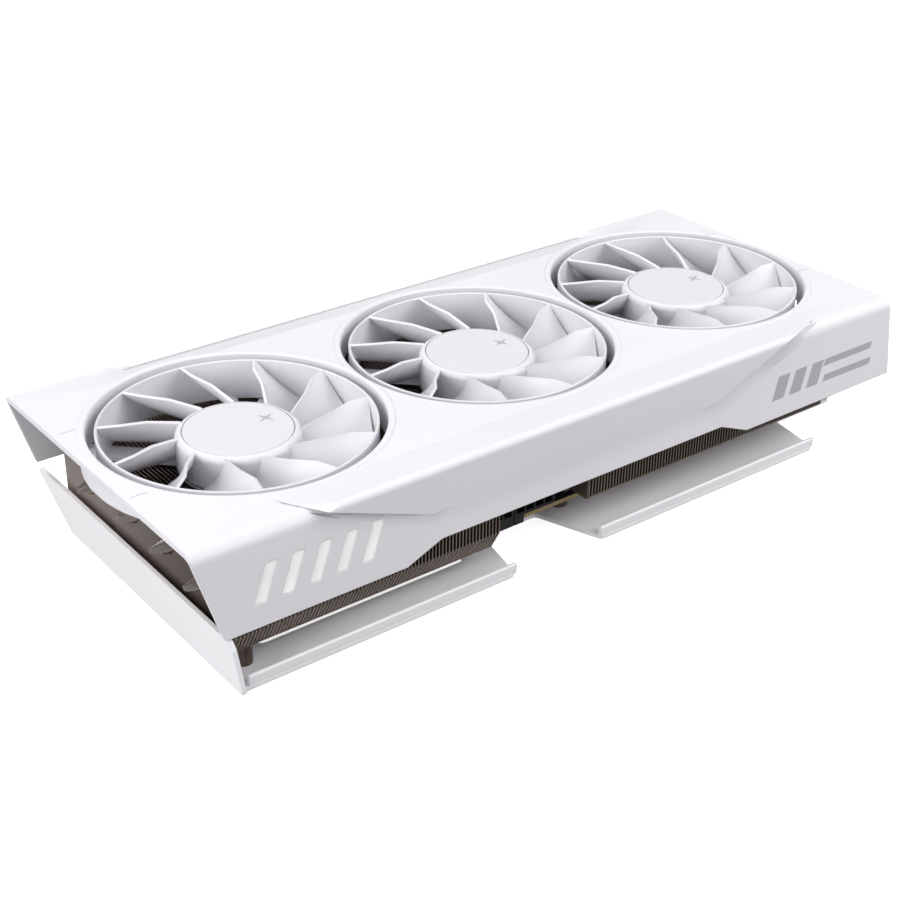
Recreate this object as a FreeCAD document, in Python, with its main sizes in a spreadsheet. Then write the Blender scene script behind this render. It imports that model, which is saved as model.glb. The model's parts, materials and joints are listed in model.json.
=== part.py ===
import FreeCAD, Part

# Triple-fan graphics card.
#
# Frame: X runs along the card, from the open tail towards the input/output bracket. Y runs across it,
# from the power-socket side towards the edge contacts. Z points up, out of the fans. The origin lies on
# the axis of the middle fan, at the underside of the backplate. Everything is in millimetres.

import math
import os
import re

import Sketcher
from FreeCAD import Placement, Rotation, Vector

doc = FreeCAD.newDocument("graphics_card")

# ------------------------------------------------------------------------------------------------
# Driving dimensions
# ------------------------------------------------------------------------------------------------

DIMENSIONS = {
    # shroud
    "deck_level": 50.6,
    "deck_thickness": 2.0,
    "tail_end": -150.5,
    "head_end": 149.0,
    "near_side": -64.5,
    "near_crown": -62.5,
    "far_side": 59.3,
    "near_foot": 20.4,
    "near_arch": 25.6,
    "far_foot": 23.8,
    "tail_lean": 8.0,
    "crown_round": 4.0,
    "bulge_rise": 2.0,
    "bulge_reach": 2.5,
    "duct_foot": 39.6,
    "duct_radius": 50.0,
    "opening_radius": 48.0,
    "boss_radius": 3.0,
    # fans
    "fan_pitch": 97.7,
    "ring_radius": 45.2,
    "ring_wall": 0.9,
    "ring_top": 50.0,
    "ring_foot": 35.4,
    "hub_radius": 20.4,
    "hub_bore": 18.5,
    "hub_top": 47.0,
    "badge_radius": 18.0,
    "badge_top": 47.2,
    "badge_seat": 45.8,
    "blade_thickness": 1.1,
    "shaft_radius": 1.0,
    "bearing_bore": 1.03,
    "bearing_radius": 3.2,
    "bearing_top": 44.2,
    "magnet_bore": 16.4,
    "stator_radius": 15.6,
    "arm_reach": 53.0,
    "arm_foot": 33.8,
    "arm_top": 35.0,
    # heatsink
    "fin_top": 33.0,
    "fin_thickness": 0.4,
    "fin_gap": 1.35,
    "fin_near": -60.0,
    "fin_far": 47.8,
    "tail_fin_start": -136.6,
    "tail_fin_end": -38.0,
    "tail_fin_foot": 8.5,
    "middle_fin_near": -38.0,
    "middle_fin_foot": 20.0,
    "head_fin_start": 0.6,
    "head_fin_end": 117.0,
    "head_fin_foot": 15.0,
    "pipe_radius": 3.0,
    "pipe_shoulder": -137.4,
    "pipe_tip": -143.4,
    # board
    "board_foot": 5.0,
    "board_top": 6.6,
    "board_tail": -38.0,
    "board_head": 147.5,
    "board_near": -44.4,
    "board_far": 58.4,
    "fan_socket_top": 9.6,
    "contact_edge": 66.7,
    "contact_head": 105.5,
    "contact_span": 89.0,
    "processor_spot": 52.0,
    "package_half": 22.0,
    "package_top": 7.8,
    "die_top": 8.6,
    "cold_plate_top": 12.1,
    "cold_plate_half": 25.0,
    # backplate
    "sheet": 1.5,
    "lip_top": 4.9,
    "sheet_tail": -138.6,
    "sheet_head": 146.0,
    "tail_panel_top": 18.6,
    # bracket
    "bracket_face": 150.5,
    "bracket_sheet": 0.9,
    "bracket_foot": 2.0,
    "bracket_width": 39.2,
    "slot_pitch": 20.32,
    "tab_level": -41.9,
    "tab_length": 11.4,
    "tab_hole": 2.21,
    "bracket_far": 68.6,
    "tongue_tip": 78.1,
    "foot_screw_level": 12.0,
}

sheet = doc.addObject("Spreadsheet::Sheet", "dims")
for row, (word, value) in enumerate(DIMENSIONS.items(), start=1):
    sheet.set(f"A{row}", word)
    sheet.set(f"B{row}", str(value))
    sheet.setAlias(f"B{row}", word)
doc.recompute()


def dim(word):
    """The sheet's value of one driving dimension."""
    return float(sheet.get(word))


def formula(text):
    """The same formula, with each dimension's name pointing at its cell in the sheet."""
    return re.sub(r"[a-z_]+", lambda found: point_at_cell(found.group()), str(text))


def point_at_cell(word):
    return "dims." + word if word in DIMENSIONS else word


# ------------------------------------------------------------------------------------------------
# Building blocks
# ------------------------------------------------------------------------------------------------

sub_parts = []


def keep(shape_object, label):
    """Name a finished sub-part and list it for export."""
    shape_object.Label = label
    sub_parts.append(shape_object)
    return shape_object


def box(x, y, z):
    """A block; x, y and z are (low, high) pairs of formulas."""
    block = doc.addObject("Part::Box", "block")
    for length, axis, (low, high) in zip(("Length", "Width", "Height"), "xyz", (x, y, z)):
        block.setExpression(length, formula(f"({high}) - ({low})"))
        block.setExpression(f"Placement.Base.{axis}", formula(low))
    return block


TURNS = {
    "x": Rotation(Vector(0, 1, 0), 90),
    "y": Rotation(Vector(1, 0, 0), -90),
    "z": Rotation(),
}


def rod(radius, x, y, z, along="z", top_radius=None):
    """A round bar, or a cone with its own top radius; its axis coordinate is a (low, high) pair."""
    bar = doc.addObject("Part::Cylinder" if top_radius is None else "Part::Cone", "rod")
    if top_radius is None:
        bar.setExpression("Radius", formula(radius))
    else:
        bar.setExpression("Radius1", formula(radius))
        bar.setExpression("Radius2", formula(top_radius))
    bar.Placement = Placement(Vector(), TURNS[along])
    for axis, place in zip("xyz", (x, y, z)):
        if axis == along:
            bar.setExpression("Height", formula(f"({place[1]}) - ({place[0]})"))
            place = place[0]
        bar.setExpression(f"Placement.Base.{axis}", formula(place))
    return bar


def fuse(*pieces):
    union = doc.addObject("Part::MultiFuse", "union")
    union.Shapes = list(pieces)
    return union


def cut(base, *tools):
    remainder = doc.addObject("Part::Cut", "remainder")
    remainder.Base = base
    remainder.Tool = tools[0] if len(tools) == 1 else fuse(*tools)
    return remainder


def group(*solids):
    """Separate solids that share one node."""
    bundle = doc.addObject("Part::Compound", "bundle")
    bundle.Links = list(solids)
    return bundle


def tube(outer, inner, x, y, z, along="z"):
    return cut(rod(outer, x, y, z, along), rod(inner, x, y, z, along))


def add_loop(sketch, corners):
    """A closed run of lines whose corners are held by distances from the sketch's origin."""
    first = sketch.GeometryCount
    spots = [Vector(index + 1, index * index, 0) for index in range(len(corners))]
    for start, end in zip(spots, spots[1:] + spots[:1]):
        sketch.addGeometry(Part.LineSegment(start, end), False)
    for index in range(len(corners)):
        following = (index + 1) % len(corners)
        sketch.addConstraint(Sketcher.Constraint("Coincident", first + index, 2, first + following, 1))
    for index, (across, up) in enumerate(corners):
        for kind, place in (("DistanceX", across), ("DistanceY", up)):
            held = sketch.addConstraint(Sketcher.Constraint(kind, -1, 1, first + index, 1, 1.0))
            sketch.setExpression(f"Constraints[{held}]", formula(place))


def add_circle(sketch, across, up, radius):
    ring = sketch.addGeometry(Part.Circle(Vector(1, 1, 0), Vector(0, 0, 1), 1), False)
    held = sketch.addConstraint(Sketcher.Constraint("Radius", ring, 1.0))
    sketch.setExpression(f"Constraints[{held}]", formula(radius))
    for kind, place in (("DistanceX", across), ("DistanceY", up)):
        held = sketch.addConstraint(Sketcher.Constraint(kind, -1, 1, ring, 3, 1.0))
        sketch.setExpression(f"Constraints[{held}]", formula(place))


def sketched_body(plane_role):
    """A body with one empty sketch on one of its own origin planes."""
    body = doc.addObject("PartDesign::Body", "body")
    sketch = body.newObject("Sketcher::SketchObject", "profile")
    plane = next(feature for feature in body.Origin.OriginFeatures if feature.Role == plane_role)
    sketch.AttachmentSupport = [(plane, "")]
    sketch.MapMode = "FlatFace"
    return body, sketch


def plate(outline, z, windows=(), holes=()):
    """A flat piece from a sketched outline, between two levels; holes are (x, y, radius)."""
    body, sketch = sketched_body("XY_Plane")
    add_loop(sketch, outline)
    for window in windows:
        add_loop(sketch, window)
    for hole in holes:
        add_circle(sketch, *hole)
    pad = body.newObject("PartDesign::Pad", "pad")
    pad.Profile = sketch
    pad.setExpression("Length", formula(f"({z[1]}) - ({z[0]})"))
    body.setExpression("Placement.Base.z", formula(z[0]))
    return body


def turned(profile, x="0", y="0"):
    """A piece turned about an upright axis from a sketched half profile of (radius, level)."""
    body, sketch = sketched_body("XZ_Plane")
    add_loop(sketch, profile)
    revolution = body.newObject("PartDesign::Revolution", "revolution")
    revolution.Profile = sketch
    revolution.ReferenceAxis = (sketch, ["V_Axis"])
    revolution.Angle = 360
    body.setExpression("Placement.Base.x", formula(x))
    body.setExpression("Placement.Base.y", formula(y))
    return body


def rectangle(x, y):
    return [(x[0], y[0]), (x[1], y[0]), (x[1], y[1]), (x[0], y[1])]


def freeform(shape):
    """A shape made with Part's own functions from the sheet's values."""
    feature = doc.addObject("Part::Feature", "freeform")
    feature.Shape = shape
    return feature


def extruded(points, run):
    """A solid swept from a flat polygon along a vector."""
    wire = Part.makePolygon(points + points[:1])
    return Part.Face(wire).extrude(run)


def screws(spots, head_radius, shank_radius, head, shank):
    """Upright screws; head and shank are (low, high) pairs of levels."""
    pieces = []
    for x, y in spots:
        pieces.append(fuse(rod(head_radius, x, y, head), rod(shank_radius, x, y, shank)))
    return group(*pieces)


# ------------------------------------------------------------------------------------------------
# Shroud and its lit mark
# ------------------------------------------------------------------------------------------------

FAN_STATIONS = {"tail": "-fan_pitch", "middle": "0", "head": "fan_pitch"}
FAN_SIDES = {"tail": -1, "middle": 0, "head": 1}
DIAGONALS = (45, 135, 225, 315)
LUG_SPOTS = (-120.0, -20.0, 121.0)
MARK_START = -132.0
MARK_PITCH = 9.4
MARK_BARS = 5
MARK_LEVELS = (28.0, 41.0)
SIDE_SCREW_LEVEL = 30.0


def arm_end(side, angle):
    """Where one arm of a fan base meets the shroud."""
    reach = dim("arm_reach")
    x = side * dim("fan_pitch") + reach * math.cos(math.radians(angle))
    return Vector(x, reach * math.sin(math.radians(angle)), 0)


def near_wall_line(level):
    """Outer face of the power-socket side wall at one level; the wall leans outwards to its foot."""
    crown = dim("deck_level") - dim("crown_round")
    lean = (dim("near_side") - dim("near_crown")) / (crown - dim("near_foot"))
    return dim("near_crown") + lean * (crown - level)


def shell_section(inset, floor):
    """Cross-section of the cover, drawn across the card at the tail end."""
    x = dim("tail_end")
    deck = dim("deck_level") - inset
    round_size = dim("crown_round")
    near_top = dim("near_crown") + inset
    far_top = dim("far_side") - inset
    turn = round_size * (1 - math.sqrt(0.5))
    near_foot = Vector(x, near_wall_line(floor) + inset, floor)
    near_shoulder = Vector(x, near_top, deck - round_size)
    near_turn = Vector(x, near_top + turn, deck - turn)
    near_deck = Vector(x, near_top + round_size, deck)
    far_deck = Vector(x, far_top - round_size / 2, deck)
    far_turn = Vector(x, far_top - turn / 2, deck - turn / 2)
    far_shoulder = Vector(x, far_top, deck - round_size / 2)
    far_foot = Vector(x, far_top, floor)
    edges = [
        Part.makeLine(near_foot, near_shoulder),
        Part.Arc(near_shoulder, near_turn, near_deck).toShape(),
        Part.makeLine(near_deck, far_deck),
        Part.Arc(far_deck, far_turn, far_shoulder).toShape(),
        Part.makeLine(far_shoulder, far_foot),
        Part.makeLine(far_foot, near_foot),
    ]
    return Part.Face(Part.Wire(edges))


def side_bulge():
    """The raised and proud band along the middle of the power-socket side, bevelled under a crease."""
    deck = dim("deck_level")
    near = dim("near_side")
    rise = dim("bulge_rise")
    reach = dim("bulge_reach")
    tail_foot, tail_top = -65.0, -108.5
    head_foot, head_top = 58.7, 101.6
    crease_drop, bevel_drop = 12.0, 20.0
    section = [
        Vector(tail_top, near + 12.5, deck),
        Vector(tail_top, near + 3.0, deck + rise),
        Vector(tail_top, near - reach + 2.0, deck + rise - 1.0),
        Vector(tail_top, near - reach, deck - 2.5),
        Vector(tail_top, near - reach, deck - crease_drop),
        Vector(tail_top, near_wall_line(deck - bevel_drop), deck - bevel_drop),
        Vector(tail_top, near_wall_line(deck - bevel_drop) + 1.0, deck - bevel_drop),
        Vector(tail_top, near_wall_line(deck - 5.0) + 1.0, deck - 5.0),
        Vector(tail_top, near + 12.5, deck - 1.0),
    ]
    bulge = extruded(section, Vector(head_top - tail_top, 0, 0))
    across = Vector(0, 60, 0)
    start = near - reach - 5
    for foot, top in ((tail_foot, tail_top), (head_foot, head_top)):
        outside = Vector(top, start, deck - bevel_drop - 1)
        corner = [Vector(foot, start, deck - bevel_drop - 1), Vector(top, start, deck + rise), outside]
        bulge = bulge.cut(extruded(corner, across))
    return bulge


def mark_bar(index, growth):
    """One slanted bar of the lit mark, as a block that runs through the wall."""
    low, high = MARK_LEVELS
    slant = 5.0
    width = 4.4 + growth
    x = MARK_START + index * MARK_PITCH - growth / 2
    y = dim("near_side") - 2
    corners = [
        Vector(x, y, low - growth / 2),
        Vector(x + width, y, low - growth / 2),
        Vector(x + width + slant, y, high + growth / 2),
        Vector(x + slant, y, high + growth / 2),
    ]
    return extruded(corners, Vector(0, 6, 0))


def wall_slab(outer_inset, inner_inset, low, high, start, end):
    """A flat slab that follows the leaning side wall between two insets from its outer face."""
    corners = [
        Vector(start, near_wall_line(low) + outer_inset, low),
        Vector(start, near_wall_line(high) + outer_inset, high),
        Vector(start, near_wall_line(high) + inner_inset, high),
        Vector(start, near_wall_line(low) + inner_inset, low),
    ]
    return extruded(corners, Vector(end - start, 0, 0))


def make_shroud():
    tail, head = dim("tail_end"), dim("head_end")
    deck, foot = dim("deck_level"), dim("near_foot")
    near, far = dim("near_side"), dim("far_side")
    thickness = dim("deck_thickness")
    length = Vector(head - tail, 0, 0)
    shell = shell_section(0, foot).extrude(length)
    shell = shell.cut(shell_section(thickness, foot - 1).extrude(length))

    additions = [side_bulge()]
    openings = []
    for side in FAN_SIDES.values():
        centre = Vector(side * dim("fan_pitch"), 0, dim("duct_foot"))
        depth = deck - dim("duct_foot")
        additions.append(Part.makeCylinder(dim("duct_radius"), depth, centre))
        openings.append(Part.makeCylinder(dim("opening_radius"), depth + 1, centre))
        for angle in DIAGONALS:
            spot = arm_end(side, angle) + Vector(0, 0, dim("arm_top"))
            additions.append(Part.makeCylinder(dim("boss_radius"), deck - dim("arm_top") - 1, spot))
            openings.append(Part.makeCylinder(1.2, 8, spot))
    shell = shell.fuse(additions)

    # the open tail end leans back, the side walls have stepped feet
    lean = [
        Vector(tail - 1, near - 5, foot - 1),
        Vector(tail + dim("tail_lean") + 0.6, near - 5, foot - 1),
        Vector(tail, near - 5, deck - thickness),
        Vector(tail - 1, near - 5, deck - thickness),
    ]
    arch = [
        Vector(-78.2, near - 5, foot - 1),
        Vector(-78.2, near - 5, foot),
        Vector(-64.5, near - 5, dim("near_arch")),
        Vector(58.4, near - 5, dim("near_arch")),
        Vector(71.4, near - 5, foot),
        Vector(71.4, near - 5, foot - 1),
    ]
    openings.append(extruded(lean, Vector(0, far - near + 10, 0)))
    openings.append(extruded(arch, Vector(0, 15, 0)))
    far_step = Vector(tail - 1, far - 10, foot - 1)
    openings.append(Part.makeBox(head - tail + 2, 15, dim("far_foot") - foot + 1, far_step))
    for x in LUG_SPOTS:
        openings.append(Part.makeCylinder(1.6, 6, Vector(x, far - 4, SIDE_SCREW_LEVEL), Vector(0, 1, 0)))
    for index in range(MARK_BARS):
        openings.append(mark_bar(index, 0.3))
    # the deck falls away towards the edge-contact side, between the two end wings
    slope = [Vector(-107, 50, deck), Vector(-107, far + 1, deck - 2.9), Vector(-107, far + 1, deck + 1)]
    openings.append(extruded(slope, Vector(197, 0, 0)))
    return shell.cut(openings)


def make_mark_light():
    """The light guide: a slab behind the wall with bars that stand in the wall's openings."""
    low, high = MARK_LEVELS
    start = MARK_START - 3
    end = MARK_START + MARK_BARS * MARK_PITCH + 3
    thickness = dim("deck_thickness")
    backing = wall_slab(thickness + 0.2, thickness + 1.4, low - 1.5, high + 1.5, start, end)
    through = wall_slab(0.4, thickness + 0.8, low - 1, high + 1, start, end)
    bars = [mark_bar(index, 0).common(through) for index in range(MARK_BARS)]
    return backing.fuse(bars)


keep(freeform(make_shroud()), "shroud")
keep(freeform(make_mark_light()), "mark_light")

lugs = [
    cut(
        box((x - 4, x + 4), ("fin_far", "far_side - deck_thickness"), (26.8, 32.9)),
        rod(1.2, x, ("far_side - 9", "far_side"), SIDE_SCREW_LEVEL, "y"),
    )
    for x in LUG_SPOTS
]
keep(group(*lugs), "shroud_lugs")
side_screws = [
    fuse(
        rod(2.6, x, ("far_side", "far_side + 1.2"), SIDE_SCREW_LEVEL, "y"),
        rod(1.15, x, ("far_side - 7", "far_side"), SIDE_SCREW_LEVEL, "y"),
    )
    for x in LUG_SPOTS
]
keep(group(*side_screws), "shroud_screws")

# ------------------------------------------------------------------------------------------------
# Fans
# ------------------------------------------------------------------------------------------------

BLADE_COUNT = 11
# blade sections at growing distances from the hub: (distance, top offset, top level, foot offset)
BLADE_SECTIONS = (
    (17.0, -4.4, -4.3, -9.3),
    (28.0, 3.0, -2.3, -8.3),
    (36.5, 8.7, -0.9, -7.5),
    (46.0, 12.5, -0.8, -6.6),
)


def make_blade():
    """One twisted blade along +X, as a ruled solid through thin upright sections."""
    thickness = dim("blade_thickness")
    foot = dim("ring_foot")
    wires = []
    for distance, top_offset, top_level, foot_offset in BLADE_SECTIONS:
        top = dim("deck_level") + top_level
        corners = [
            Vector(distance, top_offset, top),
            Vector(distance, top_offset + thickness, top),
            Vector(distance, foot_offset + thickness, foot + 0.2),
            Vector(distance, foot_offset, foot + 0.2),
        ]
        wires.append(Part.makePolygon(corners + corners[:1]))
    blade = Part.makeLoft(wires, True, True)
    outer = Part.makeCylinder(dim("ring_radius") - 0.4, 20, Vector(0, 0, foot - 2))
    inner = Part.makeCylinder(dim("hub_radius") - 0.9, 20, Vector(0, 0, foot - 2))
    return blade.common(outer).cut(inner)


blade_shape = make_blade()


def make_rotor(name, station):
    hub = turned(
        [
            ("shaft_radius", "badge_seat - 1.2"),
            ("hub_bore", "badge_seat - 1.2"),
            ("hub_bore", "ring_foot"),
            ("hub_radius", "ring_foot"),
            ("hub_radius", "hub_top - 1.4"),
            ("hub_radius - 1.2", "hub_top"),
            ("badge_radius + 0.25", "hub_top"),
            ("badge_radius + 0.25", "badge_seat"),
            ("shaft_radius", "badge_seat"),
        ],
        station,
    )
    ring = tube("ring_radius", "ring_radius - ring_wall", station, 0, ("ring_foot", "ring_top"))
    blades = []
    for index in range(BLADE_COUNT):
        blade = freeform(blade_shape)
        turn = Rotation(Vector(0, 0, 1), index * 360 / BLADE_COUNT)
        blade.Placement = Placement(Vector(), turn)
        blade.setExpression("Placement.Base.x", formula(station))
        blades.append(blade)
    keep(fuse(hub, ring, *blades), f"fan_rotor_{name}")


def make_badge(name, station):
    disc = turned(
        [
            (0, "badge_seat"),
            ("badge_radius", "badge_seat"),
            ("badge_radius", "badge_top - 0.3"),
            ("badge_radius - 0.3", "badge_top"),
            (0, "badge_top"),
        ],
        station,
    )
    keep(disc, f"hub_badge_{name}")


def make_motor(name, station):
    """Shaft, bearing sleeve, magnet cup and wound stator of one fan."""
    keep(rod("shaft_radius", station, 0, ("arm_top + 0.2", "badge_seat")), f"fan_shaft_{name}")
    sleeve = tube("bearing_radius", "bearing_bore", station, 0, ("arm_top - 0.4", "bearing_top"))
    keep(sleeve, f"bearing_sleeve_{name}")
    magnet = tube("hub_bore", "magnet_bore", station, 0, ("ring_foot + 0.6", "badge_seat - 1.8"))
    keep(magnet, f"magnet_cup_{name}")
    poles = []
    for index in range(6):
        angle = index * 60
        poles.append(radial_block((4.0, "stator_radius - 1.2"), 1.4, (39.0, 43.2), angle, station))
        shoe_reach = ("stator_radius - 2.4", "stator_radius - 1.0")
        poles.append(radial_block(shoe_reach, 4.6, (39.0, 43.2), angle, station))
    core = tube("bearing_radius + 2.6", "bearing_radius", station, 0, (38.6, 43.6))
    keep(fuse(core, *poles), f"stator_{name}")


def radial_block(reach, half_width, z, angle, station):
    """A block that points away from a fan's axis, turned about it and carried to its station."""
    cosine, sine = math.cos(math.radians(angle)), math.sin(math.radians(angle))
    block = doc.addObject("Part::Box", "radial_block")
    block.Placement = Placement(Vector(), Rotation(Vector(0, 0, 1), angle))
    block.setExpression("Length", formula(f"({reach[1]}) - ({reach[0]})"))
    block.setExpression("Width", formula(f"2 * {half_width}"))
    block.setExpression("Height", formula(f"({z[1]}) - ({z[0]})"))
    across = f"({reach[0]}) * {cosine:.6f} + {half_width} * {sine:.6f}"
    along = f"({reach[0]}) * {sine:.6f} - {half_width} * {cosine:.6f}"
    block.setExpression("Placement.Base.x", formula(f"({station}) + {across}"))
    block.setExpression("Placement.Base.y", formula(along))
    block.setExpression("Placement.Base.z", formula(z[0]))
    return block


def make_base(name, station, side):
    """Motor base: a disc on four arms whose eyes are screwed up into the cover's bosses."""
    pieces = [tube(20.0, "bearing_radius", station, 0, ("arm_foot", "arm_top - 0.4"))]
    holes = []
    for angle in DIAGONALS:
        end = arm_end(side, angle)
        pieces.append(radial_block((18, "arm_reach"), 4, ("arm_foot", "arm_top"), angle, station))
        pieces.append(rod(4.0, end.x, end.y, ("arm_foot", "arm_top")))
        holes.append(rod(1.6, end.x, end.y, ("arm_foot - 1", "arm_top + 1")))
    keep(cut(fuse(*pieces), *holes), f"fan_base_{name}")


for name, station in FAN_STATIONS.items():
    make_rotor(name, station)
    make_badge(name, station)
    make_motor(name, station)
    make_base(name, station, FAN_SIDES[name])

arm_spots = [arm_end(side, angle) for side in FAN_SIDES.values() for angle in DIAGONALS]
arm_spots = [(f"{spot.x:.4f}", f"{spot.y:.4f}") for spot in arm_spots]
keep(screws(arm_spots, 2.3, 1.15, ("arm_foot - 0.7", "arm_foot"), ("arm_foot", 43)), "fan_screws")


def bent_wire(points, radius):
    """A round wire along straight runs with ball-shaped bends."""
    pieces = []
    for start, end in zip(points, points[1:]):
        run = end - start
        pieces.append(Part.makeCylinder(radius, run.Length, start, run))
        pieces.append(Part.makeSphere(radius, end))
    return pieces[0].fuse(pieces[1:])


LEAD_RADIUS = 0.35


def make_fan_leads():
    """Each fan's lead runs out to the edge-contact side, along the fins and down to the board."""
    leads = []
    level = dim("arm_foot") - LEAD_RADIUS - 0.05
    for index, side in enumerate(FAN_SIDES.values()):
        x = side * dim("fan_pitch")
        y = 49.0 + 1.6 * index
        drop = 109.0 - 3.0 * index
        path = [
            Vector(x, 18.0, level),
            Vector(x, y, level),
            Vector(drop, y, level),
            Vector(drop, y, dim("fan_socket_top") + LEAD_RADIUS),
        ]
        leads.append(bent_wire(path, LEAD_RADIUS))
    return Part.makeCompound(leads)


keep(freeform(make_fan_leads()), "fan_leads")
keep(box((100, 112), (46.5, 55), ("board_top", "fan_socket_top")), "fan_socket")

# ------------------------------------------------------------------------------------------------
# Heatsink
# ------------------------------------------------------------------------------------------------

# each pipe: place across the tail fins, level there, place across the cold plate
PIPE_ROUTES = ((26.0, 27.6, 24.0), (-1.0, 29.8, 8.0), (-23.0, 29.8, -8.0), (-43.5, 27.6, -24.0))
PIPE_DIP_START = -36.0
PIPE_DIP_END = -2.0
PIPE_END = 100.0
FIN_STRIPS = ((0.0, 6.0), (40.0, 52.0), (78.0, 90.0))


def pipe_path(y_tail, level, y_plate):
    """Straight through the tail fins, a smooth dip, and straight over the cold plate."""
    saddle = dim("cold_plate_top") + dim("pipe_radius")
    dip_start = Vector(PIPE_DIP_START, y_tail, level)
    dip_end = Vector(PIPE_DIP_END, y_plate, saddle)
    pull = Vector(18, 0, 0)
    dip = Part.BezierCurve()
    dip.setPoles([dip_start, dip_start + pull, dip_end - pull, dip_end])
    edges = [
        Part.makeLine(Vector(dim("pipe_shoulder"), y_tail, level), dip_start),
        dip.toShape(),
        Part.makeLine(dip_end, Vector(PIPE_END, y_plate, saddle)),
    ]
    return Part.Wire(edges)


def make_pipe(y_tail, level, y_plate):
    radius = dim("pipe_radius")
    path = pipe_path(y_tail, level, y_plate)
    start = Vector(dim("pipe_shoulder"), y_tail, level)
    circle = Part.Wire(Part.makeCircle(radius, start, Vector(1, 0, 0)))
    pipe = path.makePipeShell([circle], True, False)
    tip = Part.makeCone(radius, 0.9, start.x - dim("pipe_tip"), start, Vector(-1, 0, 0))
    return pipe.fuse(tip)


def pipe_channels():
    """Room for the pipes: round holes along the straight runs and a slot around each dip."""
    room = dim("pipe_radius") + 0.08
    saddle = dim("cold_plate_top") + dim("pipe_radius")
    tools = []
    for y_tail, level, y_plate in PIPE_ROUTES:
        tail_start = Vector(dim("tail_end"), y_tail, level)
        tail_run = PIPE_DIP_START - dim("tail_end") + 1
        tools.append(Part.makeCylinder(room, tail_run, tail_start, Vector(1, 0, 0)))
        head_start = Vector(PIPE_DIP_END - 1, y_plate, saddle)
        tools.append(Part.makeCylinder(room, PIPE_END - PIPE_DIP_END + 2, head_start, Vector(1, 0, 0)))
        low_y, high_y = sorted((y_tail, y_plate))
        steps = 8
        centre = []
        for step in range(steps + 1):
            share = step / steps
            ease = share * share * (3 - 2 * share)
            x = PIPE_DIP_START + share * (PIPE_DIP_END - PIPE_DIP_START)
            centre.append((x, level + ease * (saddle - level)))
        margin = room + 1.7
        outline = [Vector(x, low_y - room, z + margin) for x, z in centre]
        outline += [Vector(x, low_y - room, z - margin) for x, z in reversed(centre)]
        tools.append(extruded(outline, Vector(0, high_y - low_y + 2 * room, 0)))
    return tools


def make_fin_block(start, end, near, far, foot, chamfer):
    """Upright fins across the card, joined along their feet by a few narrow strips."""
    top = dim("fin_top")
    thickness = dim("fin_thickness")
    web = foot + 0.5
    count = int((end - start) / dim("fin_gap"))
    pitch = (end - start - thickness) / count
    outline = [Vector(end, near, foot), Vector(start, near, foot)]
    for index in range(count + 1):
        x = start + index * pitch
        if index:
            outline.append(Vector(x, near, web))
        outline += [Vector(x, near, top), Vector(x + thickness, near, top)]
        if index < count:
            outline.append(Vector(x + thickness, near, web))
    block = extruded(outline, Vector(0, far - near, 0))
    tools = list(pipe_room)
    strips = [(near + low, near + high) for low, high in FIN_STRIPS if near + high < far]
    strips.append((far - 6, far))
    for (_, low), (high, _) in zip(strips, strips[1:]):
        if high > low:
            tools.append(Part.makeBox(end - start + 2, high - low, 0.5, Vector(start - 1, low, foot)))
    if chamfer:
        corner = [
            Vector(start - 1, near - 0.1, foot - 0.1),
            Vector(start - 1, near + 4.0, foot - 0.1),
            Vector(start - 1, near - 0.1, foot + 7.4),
        ]
        tools.append(extruded(corner, Vector(end - start + 2, 0, 0)))
    return block.cut(tools)


pipe_room = pipe_channels()
near_fin, far_fin = dim("fin_near"), dim("fin_far")
tail_block = make_fin_block(
    dim("tail_fin_start"), dim("tail_fin_end"), near_fin, far_fin, dim("tail_fin_foot"), True
)
keep(freeform(tail_block), "tail_fins")
middle_block = make_fin_block(
    dim("tail_fin_end") + 1,
    dim("head_fin_start") - 1,
    dim("middle_fin_near"),
    far_fin,
    dim("middle_fin_foot"),
    False,
)
keep(freeform(middle_block), "middle_fins")
head_block = make_fin_block(
    dim("head_fin_start"), dim("head_fin_end"), near_fin, far_fin, dim("head_fin_foot"), False
)
keep(freeform(head_block), "head_fins")
keep(freeform(Part.makeCompound([make_pipe(*route) for route in PIPE_ROUTES])), "heat_pipes")


def make_tail_end_plate():
    """The outermost plate of the tail fins, pierced by the four pipes."""
    run = ("pipe_shoulder", "tail_fin_start - 0.1")
    blank = box(run, ("fin_near", "fin_far"), ("tail_fin_foot", "fin_top"))
    holes = [
        rod("pipe_radius + 0.1", (-140, -134), y, level, "x")
        for y, level, _ in PIPE_ROUTES
    ]
    return cut(blank, *holes)


keep(make_tail_end_plate(), "tail_end_plate")

gap_end_plate = box(
    ("head_fin_start - 0.9", "head_fin_start - 0.1"),
    ("fin_near", "fin_near + 22"),
    ("head_fin_foot", "fin_top"),
)
keep(gap_end_plate, "gap_end_plate")

# ------------------------------------------------------------------------------------------------
# Processor, cold plate and board
# ------------------------------------------------------------------------------------------------

PLATE_SCREWS = [(f"processor_spot + {x}", y) for x in (-30, 30) for y in (-30, 30)]
STANDOFFS = [(-31, 50), (60, 52), (140, 50), (140, -38), (95, -39), (6, -39)]
TAIL_POSTS = [(-130.5, -53.1), (-130.5, 40)]


def square(centre_x, half_x, half_y):
    across = (f"{centre_x} - ({half_x})", f"{centre_x} + {half_x}")
    return rectangle(across, (f"-({half_y})", half_y))


cold_outline = square("processor_spot", "cold_plate_half", "cold_plate_half")
keep(plate(cold_outline, ("die_top", "cold_plate_top")), "cold_plate")
keep(
    plate(
        rectangle((4, 90), (-44, 44)),
        (8.8, 10.8),
        windows=[square("processor_spot", "cold_plate_half + 1", "cold_plate_half + 1")],
        holes=[(x, y, 1.35) for x, y in PLATE_SCREWS],
    ),
    "memory_plate",
)
package = square("processor_spot", "package_half", "package_half")
keep(plate(package, ("board_top", "package_top")), "processor_package")
keep(plate(square("processor_spot", 12, 8), ("package_top", "die_top")), "processor_die")

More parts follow.
